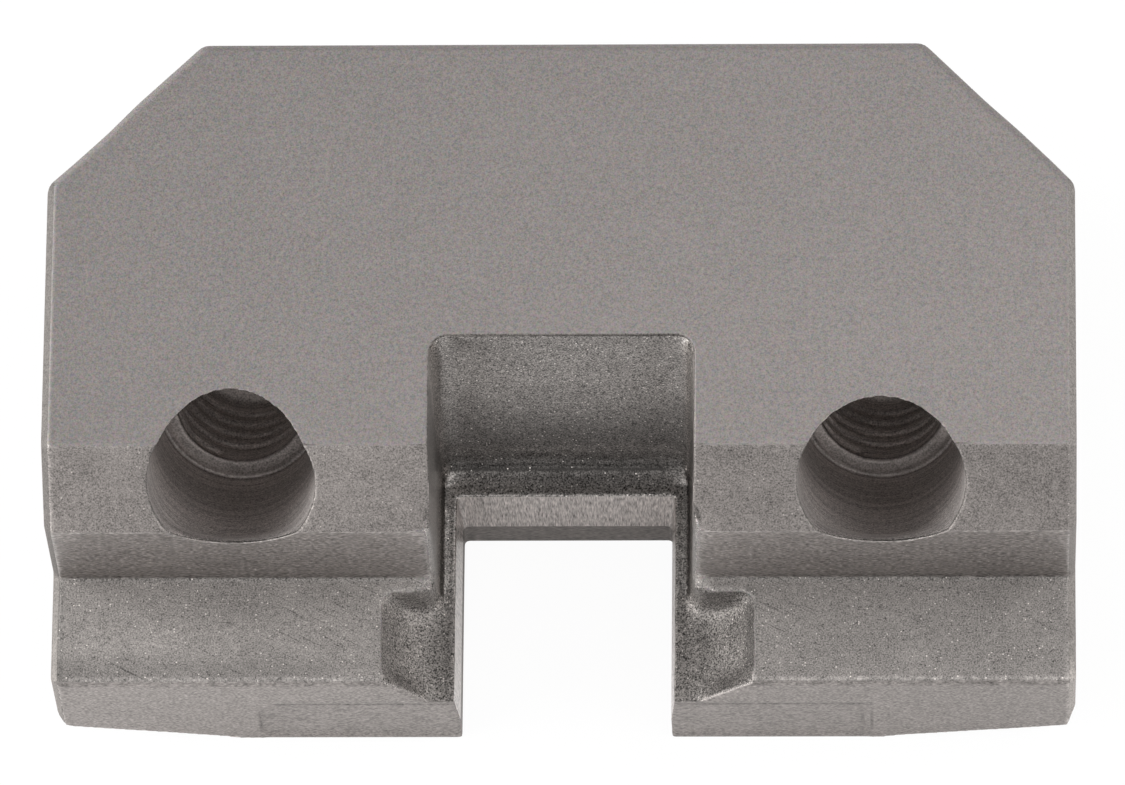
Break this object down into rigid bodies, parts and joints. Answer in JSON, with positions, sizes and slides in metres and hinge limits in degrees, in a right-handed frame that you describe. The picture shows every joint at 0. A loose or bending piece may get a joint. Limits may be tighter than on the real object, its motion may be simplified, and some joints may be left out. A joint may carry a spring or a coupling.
{
  "type": "nibbler die",
  "caption": "Steel nibbler die: a block with chamfered back corners, a front seat ledge, two angled screw holes and an open punch notch with a slug pocket above it.",
  "frame": {"origin": "middle of the block's footprint, on the plane of the cutting face", "axes": "+X across the die, +Y from the cutting front to the back, +Z from the cutting face to the clamped face"},
  "size_m": [0.04, 0.024, 0.014],
  "materials": {
    "tool_steel": "hardened tool steel, cast and blasted, ground at the cutting front"
  },
  "bodies": {
    "root": {"die_body": "tool_steel"}
  },
  "joints": []
}
